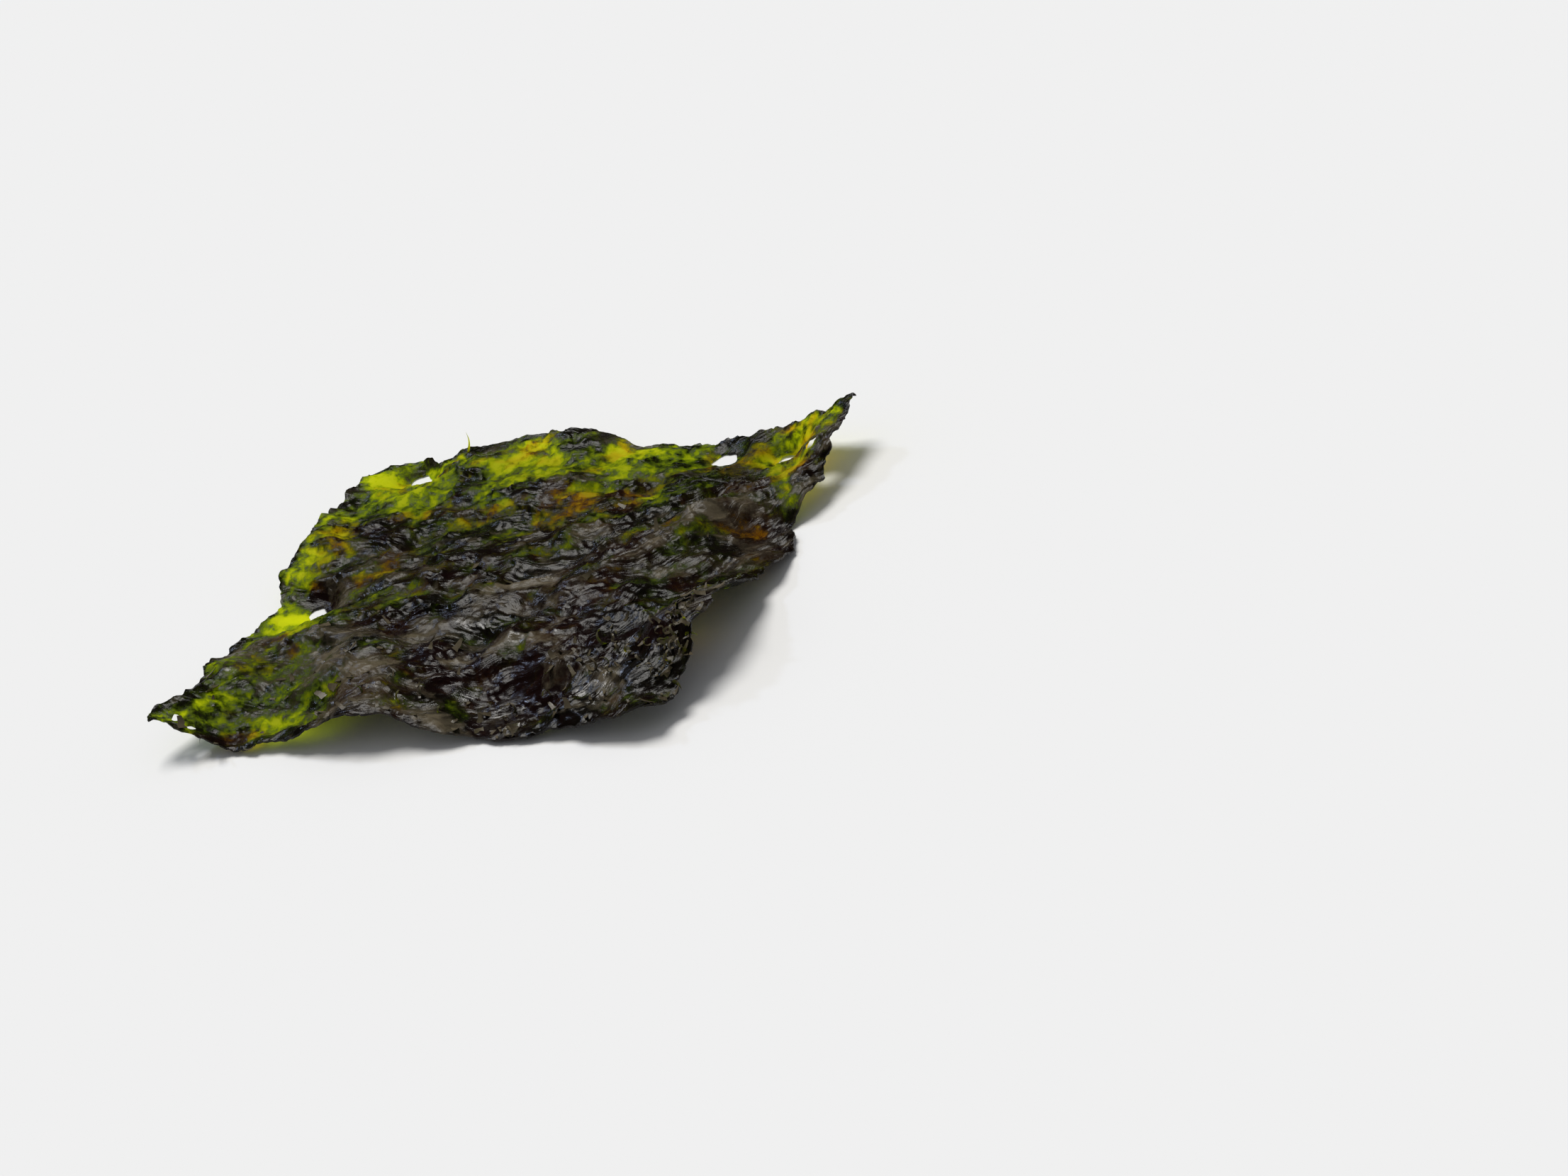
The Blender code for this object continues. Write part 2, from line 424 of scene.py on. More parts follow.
@dataclass(frozen=True)
class SheetForm:
    """The broad form of the cut square, the same as the solid's."""

    width: float
    depth: float
    rest_height: float = 2.7
    coarse_pitch: float = 9.0
    coarse_height: float = 1.3
    coarse_row: float = 3.7
    fine_pitch: float = 4.6
    fine_height: float = 0.7
    fine_row: float = 8.2
    crumb_depth: float = 1.0
    crumb_pitch: float = 4.0
    crumb_row: float = 1.3
    edge_reach: float = 8.0

    def underside(self, x: float, y: float) -> float:
        """Height of the solid's lower face above the floor, never under 0.

        Args:
            x, y: The place on the sheet.

        Returns:
            The height.
        """
        waves = 0.0
        for swell in SWELLS.values():
            across = (x - swell.x) / swell.radius_x
            along = (y - swell.y) / swell.radius_y
            waves += swell.height * math.exp(-across * across - along * along)
        for fold in FOLDS.values():
            run_x = fold.end[0] - fold.start[0]
            run_y = fold.end[1] - fold.start[1]
            share = (x - fold.start[0]) * run_x + (y - fold.start[1]) * run_y
            share = min(1.0, max(0.0, share / (run_x * run_x + run_y * run_y)))
            off_x = x - fold.start[0] - share * run_x
            off_y = y - fold.start[1] - share * run_y
            waves += fold.height * math.exp(-(off_x * off_x + off_y * off_y) / fold.half_width**2)
        coarse = noise.noise(Vector((x / self.coarse_pitch, y / self.coarse_pitch, self.coarse_row)))
        fine = noise.noise(Vector((x / self.fine_pitch, y / self.fine_pitch, self.fine_row)))
        bumps = self.coarse_height * coarse + self.fine_height * fine
        return max(0.0, self.rest_height + waves + bumps)

    def missing(self, place: float, edge: Edge) -> float:
        """How far a cut edge has crumbled inwards.

        Args:
            place: Place along the edge.
            edge: Which edge it is.

        Returns:
            The depth that is missing there.
        """
        crumbs = noise.noise(Vector((place / self.crumb_pitch, edge.value, self.crumb_row)))
        depth = self.crumb_depth * max(0.0, crumbs)
        for nick in NICKS[edge]:
            depth += nick.depth * math.exp(-(((place - nick.place) / nick.half_width) ** 2))
        return depth

    def drawn_in(self, x: float, y: float, reach: float, depth: Callable[[float, Edge], float]) -> Pair:
        """How far the torn edges have drawn a point inwards.

        Args:
            x, y: The place on the full square.
            reach: How far in from the edges this reaches.
            depth: What is missing from an edge at a place along it.

        Returns:
            The moves along x and y.
        """
        half_x, half_y = self.width / 2, self.depth / 2
        left, right = (depth(y, edge) * max(0.0, 1.0 - off / reach) ** 2
                       for edge, off in ((Edge.LEFT, x + half_x), (Edge.RIGHT, half_x - x)))
        front, back = (depth(x, edge) * max(0.0, 1.0 - off / reach) ** 2
                       for edge, off in ((Edge.FRONT, y + half_y), (Edge.BACK, half_y - y)))
        return left - right, front - back


@dataclass(frozen=True)
class Crinkle:
    """The sharp little creases that roasting leaves, finer than the solid's own waves.

    Three nets of creases, from coarse to fine, bound dimples that lie longer along the grain than
    across it, and a ripple runs over them. The grain turns towards the right, and the front right
    slope has its own. Round the holes that lie on the floor, the sheet is pressed flat.
    """

    net_pitches: tuple[float, ...] = (5.6, 3.0, 1.5)
    net_heights: tuple[float, ...] = (1.05, 0.55, 0.15)
    net_stretches: tuple[float, ...] = (1.0, 1.5, 2.2)
    net_line: float = 0.1
    net_middle: float = 0.35
    net_row: float = 3.5
    finer_crest: float = 0.25
    ripple_pitch: float = 0.9
    ripple_height: float = 0.06
    ripple_row: float = 9.0
    grain_deg: float = 4.0
    grain_turn_deg: float = 0.9
    stretch: float = 2.3
    fine_stretch: float = 2.0
    swirl_pitch: float = 5.0
    swirl_reach: float = 2.4
    swirl_row: float = 2.0
    slope_grain_deg: float = 62.0
    slope_start: Pair = (13.5, -30.0)
    slope_deg: float = 76.0
    slope_back: float = -9.0
    slope_softness: float = 3.0
    fray_pitches: tuple[float, ...] = (2.2, 1.0, 0.55)
    fray_depths: tuple[float, ...] = (0.55, 0.4, 0.3)
    fray_reach: float = 2.0
    fray_row: float = 6.1
    fray_spread: float = 1.7
    right_fray: float = 1.7
    calm_reach: float = 2.9

    def on_slope(self, x: float, y: float) -> float:
        """Share of the front right slope's own grain at a place.

        Args:
            x, y: The place on the sheet.

        Returns:
            The share, from 0 outside the slope to 1 on it.
        """
        turn = math.radians(self.slope_deg)
        past = (x - self.slope_start[0]) * math.sin(turn) - (y - self.slope_start[1]) * math.cos(turn)
        sideways = min(1.0, max(0.0, past / self.slope_softness + 0.5))
        forwards = min(1.0, max(0.0, (self.slope_back - y) / self.slope_softness + 0.5))
        return sideways * forwards

    def grain(self, x: float, y: float, grain_deg: float) -> Pair:
        """Place in the swirling grain of the creases.

        Args:
            x, y: The place on the sheet.
            grain_deg: Direction of the creases, turned from the front edge.

        Returns:
            The place along the creases, shortened by their stretch, and across them.
        """
        swirl = noise.noise_vector(Vector((x, y, self.swirl_row)) / self.swirl_pitch) * self.swirl_reach
        turn = math.radians(grain_deg)
        along = ((x + swirl.x) * math.cos(turn) + (y + swirl.y) * math.sin(turn)) / self.stretch
        across = (y + swirl.y) * math.cos(turn) - (x + swirl.x) * math.sin(turn)
        return along, across

    def height(self, along: float, across: float) -> Pair:
        """Height of the creases at a place, and how much of a sharp crest it is.

        Args:
            along: Place along the grain.
            across: Place across it.

        Returns:
            The height, about 0 on average, and the crest's share from 0 to 1.
        """
        total = 0.0
        crest = 0.0
        nets = zip(self.net_pitches, self.net_heights, self.net_stretches)
        for number, (pitch, height, stretch) in enumerate(nets):
            place = Vector((along / stretch, across, 0.0)) / pitch
            distances, _ = noise.voronoi(place + Vector((0.0, 0.0, self.net_row * number)))
            from_line = distances[1] - distances[0]
            total += height * (self.net_middle - from_line)
            sharpness = math.exp(-((from_line / self.net_line) ** 2))
            crest = max(crest, (1.0 - self.finer_crest * number) * sharpness)
        ripple = Vector((along / self.fine_stretch, across, self.ripple_row))
        total += self.ripple_height * ridge(ripple, self.ripple_pitch)
        return total, crest

    def calm(self, x: float, y: float) -> float:
        """Share of the height that is left near the holes that lie on the floor.

        Args:
            x, y: The place on the sheet.

        Returns:
            The share, from about 0 at such a hole to 1.
        """
        share = 1.0
        for hole in HOLES:
            if hole.down:
                off = ((x - hole.x) ** 2 + (y - hole.y) ** 2) / self.calm_reach**2
                share *= 1.0 - math.exp(-off ** 2)
        return share

    def fray(self, place: float, edge: Edge) -> float:
        """How deep the torn fringe of an edge is cut.

        Args:
            place: Place along the edge.
            edge: Which edge it is.

        Returns:
            The depth, never under 0.
        """
        total = 0.0
        row = edge.value * self.fray_spread
        for pitch, depth in zip(self.fray_pitches, self.fray_depths):
            total += depth * max(0.0, noise.noise(Vector((place / pitch, row, self.fray_row))))
        return total * (self.right_fray if edge is Edge.RIGHT else 1.0)


@dataclass
class BladePile:
    """Chopped laver blades pressed over each other.

    It keeps how many blades lie at each place of the sheet, how brown they are there, how much
    painted grey sheen and oil they carry, and how far their curled rims stand up.
    """

    xs: np.ndarray
    ys: np.ndarray
    base_layers: float = 3.2
    thinnest: float = 0.95
    thin_softness: float = 0.5
    base_rust: float = 0.33
    base_painted_sheen: float = -0.1
    oil_depth: float = 0.22
    border_layers: float = 1.3
    border_reach: float = 1.5
    blades: int = 2600
    shortest: float = 0.5
    longest: float = 5.5
    short_power: float = 2.2
    blade_reach: float = 1.5
    slenderness: Pair = (0.3, 0.75)
    grain_deg: float = 10.0
    grain_spread_deg: float = 35.0
    blade_layers: Pair = (0.25, 0.7)
    blade_tint: float = 0.2
    rim_waves: tuple[int, ...] = (2, 3, 5, 7)
    rim_wave: float = 0.4
    edge_softness: float = 0.14
    rim_height: float = 0.14
    rim_width: float = 0.26
    step: float = 0.035
    sunk_share: float = -0.3
    seed: int = 7
    kept: dict[str, np.ndarray] = field(init=False)

    def __post_init__(self) -> None:
        """Lay out the patches, the border, the oil and the painted sheen streaks, then press the blades."""
        columns, rows = np.meshgrid(self.xs, self.ys)
        base = {"layers": self.base_layers, "rust": self.base_rust, "painted_sheen": self.base_painted_sheen, "oil": 0.0,
                "relief": 0.0}
        self.kept = {name: np.full(columns.shape, value) for name, value in base.items()}
        for patch in PATCHES.values():
            share = np.exp(-self.polar(columns, rows, patch)[0] ** 2)
            for name in ("layers", "rust", "painted_sheen"):
                self.kept[name] += getattr(patch, name) * share
        # This keeps the layers above the thinnest without a hard edge.
        over = (self.kept["layers"] - self.thinnest) / self.thin_softness
        self.kept["layers"] = self.thinnest + self.thin_softness * np.log1p(np.exp(over))
        inwards = np.minimum(np.minimum(columns - self.xs[0], self.xs[-1] - columns),
                             np.minimum(rows - self.ys[0], self.ys[-1] - rows))
        self.kept["layers"] += self.border_layers * np.exp(-((inwards / self.border_reach) ** 2))
        for pool in OIL.values():
            self.kept["oil"] += self.oil_depth * np.exp(-self.polar(columns, rows, pool)[0] ** 2)
        for streak in SHEEN_STREAKS.values():
            run_x = streak.end[0] - streak.start[0]
            run_y = streak.end[1] - streak.start[1]
            share = (columns - streak.start[0]) * run_x + (rows - streak.start[1]) * run_y
            share = np.clip(share / (run_x * run_x + run_y * run_y), 0.0, 1.0)
            off = np.hypot(columns - streak.start[0] - share * run_x, rows - streak.start[1] - share * run_y)
            self.kept["painted_sheen"] += streak.painted_sheen * np.exp(-((off / streak.half_width) ** 2))
        draw = random.Random(self.seed)
        for _ in range(self.blades):
            self.press(columns, rows, draw)

    @staticmethod
    def polar(columns: np.ndarray, rows: np.ndarray, patch: Patch) -> tuple[np.ndarray, np.ndarray]:
        """Distance and direction from a patch's centre, with the distance 1 at its radii.

        Args:
            columns, rows: The x and the y of each place.
            patch: The patch.

        Returns:
            The distance and the angle of each place.
        """
        turn = math.radians(patch.turn_deg)
        along = (columns - patch.x) * math.cos(turn) + (rows - patch.y) * math.sin(turn)
        across = (rows - patch.y) * math.cos(turn) - (columns - patch.x) * math.sin(turn)
        along = along / patch.radius_x
        across = across / patch.radius_y
        return np.hypot(along, across), np.arctan2(across, along)

    def press(self, columns: np.ndarray, rows: np.ndarray, draw: random.Random) -> None:
        """Press one random blade on the sheet, with a wavy and slightly curled rim.

        Args:
            columns, rows: The x and the y of each place.
            draw: Where the random numbers come from.
        """
        size = self.shortest + (self.longest - self.shortest) * draw.random() ** self.short_power
        x, y = draw.uniform(self.xs[0], self.xs[-1]), draw.uniform(self.ys[0], self.ys[-1])
        width = size * draw.uniform(*self.slenderness)
        turn_deg = draw.gauss(self.grain_deg, self.grain_spread_deg)
        blade = Patch(x, y, size, width, draw.choice((-1.0, 1.0)) * draw.uniform(*self.blade_layers),
                      draw.gauss(0.0, self.blade_tint), draw.gauss(0.0, self.blade_tint), turn_deg)
        reach = self.blade_reach * size
        across = slice(*np.searchsorted(self.xs, (blade.x - reach, blade.x + reach)))
        along = slice(*np.searchsorted(self.ys, (blade.y - reach, blade.y + reach)))
        spot = (along, across)
        distance, angle = self.polar(columns[spot], rows[spot], blade)
        for waves in self.rim_waves:
            swing = draw.uniform(0.0, self.rim_wave / waves)
            distance += swing * np.sin(waves * angle + draw.uniform(0.0, math.tau))
        depth = (1.0 - distance) * blade.radius_y
        inside = np.clip(depth / self.edge_softness + 0.5, 0.0, 1.0)
        for name in ("layers", "rust", "painted_sheen"):
            self.kept[name][spot] += getattr(blade, name) * inside
        curl = self.rim_height * draw.random() ** 2
        relief = self.kept["relief"][spot]
        relief += self.step * (1.0 if blade.layers > 0.0 else self.sunk_share) * inside
        relief += curl * np.exp(-(((depth - self.rim_width / 2) / self.rim_width) ** 2))


@dataclass(frozen=True)
class RoastedLaver:
    """Roasted and oiled laver: thin blades let yellow-green light through, thick ones are near black.

    Thin blades are also painted bright yellow-green in their colour, a painted glow. The ridges carry a
    painted grey sheen mixed into their colour, where the blades are a little rougher, and fine oil gives
    small sharp glints on top of it.
    """

    # The skin's own green and brown by depth. Their thin ends are painted bright yellow, a painted glow that
    # stands in for light coming up through thin blades.
    green: dict[float, str] = field(default_factory=lambda: {
        0.0: "dce23c", 0.1: "aeb818", 0.22: "74800e", 0.36: "46540b", 0.5: "2a3408", 0.64: "1c2108",
        0.8: "141408", 1.0: "0f0c08"})
    brown: dict[float, str] = field(default_factory=lambda: {
        0.0: "e0cc40", 0.1: "b49a1a", 0.22: "785c10", 0.36: "4e370e", 0.5: "34210d", 0.64: "26150c",
        0.8: "1c0e0b", 1.0: "150a09"})
    green_through: dict[float, str] = field(default_factory=lambda: {
        0.0: "fafc5c", 0.3: "e6f22a", 0.5: "c4d41c", 0.7: "7a8a14", 0.85: "2e3208", 1.0: "100c06"})
    brown_through: dict[float, str] = field(default_factory=lambda: {
        0.0: "fce450", 0.3: "dcb61e", 0.5: "906c12", 0.7: "54360e", 0.85: "2e1608", 1.0: "140806"})
    # Sizes of the patterns. The cells are really about 0.02 mm, too fine for the picture, so the
    # grain is coarser.
    clot_mm: float = 0.5
    clump_mm: float = 1.3
    tint_mm: float = 1.9
    grain_mm: float = 0.16
    wrinkle_mm: float = 1.9
    oil_mm: float = 1.6
    # How each noise is carried over: what it is multiplied by, and what is added.
    clot_layers: Pair = (4.6, -2.15)
    clump_layers: Pair = (6.0, -3.0)
    tint_rust: Pair = (0.7, -0.35)
    clot_painted_sheen: Pair = (1.2, -0.6)
    # The painted grey sheen: its colour, and how strongly it is mixed in, flat and on crests.
    painted_sheen_colour: str = "a49678"
    most_painted_sheen: float = 0.31
    flat_painted_sheen: float = 0.38
    crest_painted_sheen: float = 0.5
    grain_share: float = 0.2
    relief_mm: float = 0.115
    bare_roughness: float = 0.2
    sheen_roughness: float = 0.3
    thin_roughness: float = 0.62
    oiled_roughness: float = 0.06
    oiled: float = 0.5
    shine_level: float = 0.15
    most_open: float = 0.88
    least_open: float = 0.1

    def material(self) -> Finish:
        """Make the material.

        Returns:
            The finished material.
        """
        made = bpy.data.materials.new("roasted_laver")
        made.use_nodes = True
        tree = made.node_tree
        tree.nodes.clear()
        place = add(tree, "ShaderNodeTexCoord").outputs["Object"]
        to_mm = {0: place, 1: (1000.0, 1000.0, 1000.0)}
        spots = add(tree, "ShaderNodeVectorMath", to_mm, operation="MULTIPLY").outputs[0]
        # How thick the blades lie, from 0 to 1, and how brown they are.
        clots = cloudy(tree, spots, self.clot_mm, 4.0, Roughness=0.62, Distortion=0.6)
        clumps = cloudy(tree, spots, self.clump_mm, 2.0, Roughness=0.5, Distortion=0.4)
        mottled = compute(tree, "ADD", compute(tree, "MULTIPLY_ADD", clots, *self.clot_layers),
                          compute(tree, "MULTIPLY_ADD", clumps, *self.clump_layers))
        pressed = compute(tree, "ADD", attribute(tree, "layers"), mottled)
        depth = compute(tree, "DIVIDE", pressed, MOST_LAYERS, clamp=True)
        tint = compute(tree, "MULTIPLY_ADD", cloudy(tree, spots, self.tint_mm, 2.0), *self.tint_rust)
        brownness = compute(tree, "ADD", attribute(tree, "rust"), tint, clamp=True)
        # The skin's thin end is a painted yellow-green glow.
        skin = mix(tree, Blend.COLOURS, brownness, ramp(tree, depth, self.green),
                   ramp(tree, depth, self.brown))
        lit = mix(tree, Blend.COLOURS, brownness, ramp(tree, depth, self.green_through),
                  ramp(tree, depth, self.brown_through))
        # Wrinkles along the sheet's grain, and along the front right slope's own.
        ridges = {"Scale": 1.0 / self.wrinkle_mm, "Detail": 3.0, "Roughness": 0.55, "Lacunarity": 2.1,
                  "Offset": 1.0, "Gain": 1.6, "Distortion": 0.5}
        creases = [add(tree, "ShaderNodeTexNoise", {"Vector": attribute(tree, name, "Vector"), **ridges},
                       noise_type="RIDGED_MULTIFRACTAL", normalize=False).outputs["Fac"]
                   for name in ("grain", "slope_grain")]
        mixed = mix(tree, Blend.NUMBERS, attribute(tree, "slope"), *creases)
        wrinkled = remap(tree, mixed, (0.2, 2.0), (0.0, 1.0))
        # Painted grey sheen: the colour is mixed towards grey, most on the crests of thick places.
        mottled_painted_sheen = compute(tree, "MULTIPLY_ADD", clots, *self.clot_painted_sheen)
        shine = compute(tree, "ADD", attribute(tree, "painted_sheen"), mottled_painted_sheen, clamp=True)
        sharp = remap(tree, wrinkled, (0.6, 0.95), (0.0, 1.0))
        crested = compute(tree, "MULTIPLY_ADD", attribute(tree, "crest"), self.crest_painted_sheen, sharp)
        lifted = compute(tree, "ADD", crested, self.flat_painted_sheen, clamp=True)
        spread_painted_sheen = compute(tree, "MULTIPLY", lifted, shine)
        thickened = remap(tree, depth, (0.2, 0.7), (0.0, self.most_painted_sheen))
        painted_sheen_share = compute(tree, "MULTIPLY", spread_painted_sheen, thickened, clamp=True)
        skin_with_painted_sheen = mix(tree, Blend.COLOURS, painted_sheen_share, skin, linear(self.painted_sheen_colour))
        # The relief, the dullness and the oil.
        fine = cloudy(tree, spots, self.grain_mm, 2.0)
        relief = compute(tree, "MULTIPLY_ADD", fine, self.grain_share, wrinkled)
        bump = {"Strength": 1.0, "Distance": self.relief_mm * MM, "Height": relief}
        normal = add(tree, "ShaderNodeBump", bump).outputs["Normal"]
        dullness = remap(tree, shine, (0.0, 1.0), (self.bare_roughness, self.sheen_roughness))
        thin = remap(tree, depth, (0.3, 0.6), (1.0, 0.0))
        roughness = mix(tree, Blend.NUMBERS, thin, dullness, self.thin_roughness)
        soaked = compute(tree, "ADD", cloudy(tree, spots, self.oil_mm, 2.0), attribute(tree, "oil"))
        oily = remap(tree, soaked, (0.7, 0.8), (0.0, self.oiled))
        surface = add(tree, "ShaderNodeBsdfPrincipled", {
            "Base Color": skin_with_painted_sheen, "Roughness": roughness, "IOR": 1.5, "Normal": normal,
            "Specular IOR Level": self.shine_level, "Coat Weight": oily,
            "Coat Roughness": self.oiled_roughness, "Coat Normal": normal})
        # Light from behind comes through, most of all where few blades lie.
        through = add(tree, "ShaderNodeBsdfTranslucent", {"Color": lit, "Normal": normal})
        openness = remap(tree, depth, (0.15, 0.8), (self.most_open, self.least_open))
        both = add(tree, "ShaderNodeMixShader", {0: openness, 1: surface.outputs[0], 2: through.outputs[0]})
        add(tree, "ShaderNodeOutputMaterial", {"Surface": both.outputs[0]})
        return made


@dataclass(frozen=True)
class PaleFloor:
    """Matt white laminate: even and pale, with a faint unevenness in how dull it is."""

    colour: str = "f2f2f1"
    mottle_mm: float = 40.0

    def material(self) -> Finish:
        """Make the material.

        Returns:
            The finished material.
        """
        made = bpy.data.materials.new("pale_floor")
        made.use_nodes = True
        tree = made.node_tree
        shader = tree.nodes["Principled BSDF"]
        place = add(tree, "ShaderNodeTexCoord").outputs["Object"]
        mottle = add(tree, "ShaderNodeTexNoise", {"Vector": place, "Scale": 1000.0 / self.mottle_mm})
        spread = remap(tree, mottle.outputs["Fac"], (0.0, 1.0), (0.55, 0.65))
        tree.links.new(spread, shader.inputs["Roughness"])
        shader.inputs["Base Color"].default_value = linear(self.colour)
        shader.inputs["Specular IOR Level"].default_value = 0.0
        return made


@dataclass
class LaverSheet:
    """The sheet itself: a thin closed skin with its creases, its frayed rim and its holes."""

    form: SheetForm
    crinkle: Crinkle = field(default_factory=Crinkle)
    cell: float = 0.33
    thinnest: float = 0.12
    per_layer: float = 0.035
    lift: float = 0.12
    squash: float = 0.55
    squash_from: float = 7.0
    ragged: float = 0.3
    ragged_turns: float = 1.6

    def rim_place(self, x: float, y: float) -> Pair:
        """Where a point of the full square lies once its edges have crumbled and frayed.

        Args:
            x, y: The place on the full square.

        Returns:
            The moved place.
        """
        crumbled = self.form.drawn_in(x, y, self.form.edge_reach, self.form.missing)
        frayed = self.form.drawn_in(x, y, self.crinkle.fray_reach, self.crinkle.fray)
        return x + crumbled[0] + frayed[0], y + crumbled[1] + frayed[1]

    def open_holes(self, shape: Shape) -> None:
        """Take out the faces inside each hole and round what is left to its rim.

        Args:
            shape: The flat sheet, in millimetres.
        """
        for hole in HOLES:
            turn = Matrix.Rotation(-math.radians(hole.turn_deg), 2)
            middle = Vector((hole.x, hole.y))

            def inwards(point: Vector) -> float:
                """Distance from the hole's centre as a share of its ragged rim."""
                local = turn @ (point.xy - middle)
                angle = math.atan2(local.y, local.x)
                around = Vector((math.cos(angle), math.sin(angle), 0.0)) * self.ragged_turns
                ragged = 1.0 + self.ragged * noise.noise(around + Vector((0.0, 0.0, hole.x)))
                return math.hypot(local.x / hole.radius_x, local.y / hole.radius_y) / ragged

            inner = [face for face in shape.faces if inwards(face.calc_center_median()) < 1.0]
            rim = {corner for face in inner for corner in face.verts}
            bmesh.ops.delete(shape, geom=inner, context="FACES")
            for corner in rim:
                if corner.is_valid:
                    share = inwards(corner.co)
                    corner.co.xy = middle + (corner.co.xy - middle) / share

    def flat(self) -> Shape:
        """Lay out the flat sheet with its rim, its holes and what each point keeps of the blades.

        Returns:
            The shape in millimetres, split into triangles.
        """
        columns = round(self.form.width / self.cell)
        rows = round(self.form.depth / self.cell)
        xs = np.linspace(-self.form.width / 2, self.form.width / 2, columns + 1)
        ys = np.linspace(-self.form.depth / 2, self.form.depth / 2, rows + 1)
        kept = BladePile(xs, ys).kept
        shape = bmesh.new()
        for name in (*kept, "crest", "slope"):
            shape.verts.layers.float.new(name)
        for name in ("grain", "slope_grain"):
            shape.verts.layers.float_vector.new(name)
        layers = [(shape.verts.layers.float[name], values) for name, values in kept.items()]
        bmesh.ops.create_grid(shape, x_segments=columns, y_segments=rows, size=0.5)
        for vertex in shape.verts:
            column = round((vertex.co.x + 0.5) * columns)
            row = round((vertex.co.y + 0.5) * rows)
            for layer, values in layers:
                vertex[layer] = values[row, column]
            x, y = self.rim_place(vertex.co.x * self.form.width, vertex.co.y * self.form.depth)
            vertex.co = Vector((x, y, 0.0))
        self.open_holes(shape)
        bmesh.ops.triangulate(shape, faces=shape.faces[:], quad_method="SHORT_EDGE")
        return shape

    def crease(self, shape: Shape) -> None:
        """Lift each point to the waves, the creases and the blades' rims, and note its grain.

        Args:
            shape: The flat sheet, in millimetres.
        """
        crinkle = self.crinkle
        relief, crest, slope = (shape.verts.layers.float[name] for name in ("relief", "crest", "slope"))
        grain, slope_grain = (shape.verts.layers.float_vector[name] for name in ("grain", "slope_grain"))
        for vertex in shape.verts:
            x, y, _ = vertex.co
            main = crinkle.grain(x, y, crinkle.grain_deg + crinkle.grain_turn_deg * max(0.0, x))
            sloping = crinkle.grain(x, y, crinkle.slope_grain_deg)
            vertex[grain] = Vector((main[0] / crinkle.fine_stretch, main[1], 0.0))
            vertex[slope_grain] = Vector((sloping[0] / crinkle.fine_stretch, sloping[1], 0.0))
            share = crinkle.on_slope(x, y)
            near, far = (sloping, main) if share > 0.5 else (main, sloping)
            ridges, sharpness = crinkle.height(*near)
            if 0.0 < share < 1.0:
                other, other_sharpness = crinkle.height(*far)
                weight = min(share, 1.0 - share)
                ridges += weight * (other - ridges)
                sharpness += weight * (other_sharpness - sharpness)
            vertex[slope] = share
            vertex[crest] = sharpness
            height = self.form.underside(x, y) + self.lift + ridges + vertex[relief]
            height *= crinkle.calm(x, y)
            # The highest places are pressed down, so that the skin stays in the solid's box.
            vertex.co.z = max(0.0, height - self.squash * max(0.0, height - self.squash_from))

    def build(self, finish: Finish) -> Thing:
        """Make the sheet.

        Args:
            finish: The material that the sheet wears.

        Returns:
            The finished object.
        """
        shape = self.flat()
        self.crease(shape)
        layers = shape.verts.layers.float["layers"]
        raised = bmesh.ops.extrude_face_region(shape, geom=shape.faces[:], use_keep_orig=True)
        for item in raised["geom"]:
            if isinstance(item, Corner):
                item.co.z += self.thinnest + self.per_layer * min(MOST_LAYERS, max(0.0, item[layers]))
        bmesh.ops.scale(shape, verts=shape.verts[:], vec=(MM, MM, MM))
        bmesh.ops.recalc_face_normals(shape, faces=shape.faces[:])
        return finished("laver_sheet", shape, finish)


@dataclass(frozen=True)
class Cluster:
    """Where small loose pieces gather: the middle, the spread and how many there are."""

    x: float
    y: float
    spread_x: float
    spread_y: float
    count: int


SCRAPS = {
    "right fringe": Cluster(33.5, -20.5, 1.6, 4.5, 34),
    "front right": Cluster(24, -26, 6, 3.5, 30),
    "right ridge": Cluster(26, -17, 7, 3, 20),
    "front middle": Cluster(-9, -24, 8, 4, 26),
    "front edge": Cluster(4, -30, 16, 1.2, 30),
    "middle": Cluster(4, -6, 18, 12, 24),
    "left": Cluster(-28, -18, 5, 9, 8),
}

CURLS = {
    "right fringe": Cluster(33, -20, 1.2, 3.2, 22),
    "front right": Cluster(27, -21.5, 3, 2.2, 16),
    "front bowl": Cluster(12, -28, 3, 1.5, 5),
    "front middle": Cluster(-3, -27.5, 5, 1.5, 6),
}


@dataclass(frozen=True)
class Strand:
    """A thin hair of blade: where its root is, how far its tip reaches from there and its width."""

    x: float
    y: float
    reach: tuple[float, float, float]
    width: float
    layers: float


STRANDS = {
    "back hair": Strand(-21, 30.6, (0.3, 0.9, 2.7), 0.4, 0.2),
    "spine under the tip": Strand(-28.9, -30.9, (0.15, -1.1, -0.8), 0.16, 3),
    "outer hair": Strand(-35, -29.9, (-0.9, -0.1, 0.2), 0.14, 0.5),
    "right spike": Strand(34.2, -20.6, (1.7, -0.4, 0), 0.5, 2.4),
    "right tooth": Strand(33.6, -25.6, (1.3, -1, -0.6), 0.6, 2.4),
    "right splinter": Strand(34.4, -18.6, (1.2, 0.3, 0.2), 0.3, 2.4),
}


@dataclass(frozen=True)
class Cut:
    """How a kind of scrap is cut: its steps, and its ranges of length, width, bend and layers."""

    steps: int
    lengths: Pair
    widths: Pair
    bends: Pair
    layers: Pair


class Scrap(Enum):
    """The kinds of loose bits on the sheet. A width is a share of the length."""

    FLAKE = Cut(4, (0.5, 1.7), (0.3, 0.8), (0.1, 0.9), (3.2, 5.0))
    CURL = Cut(9, (1.6, 3.4), (0.12, 0.2), (3.2, 5.4), (2.8, 4.2))


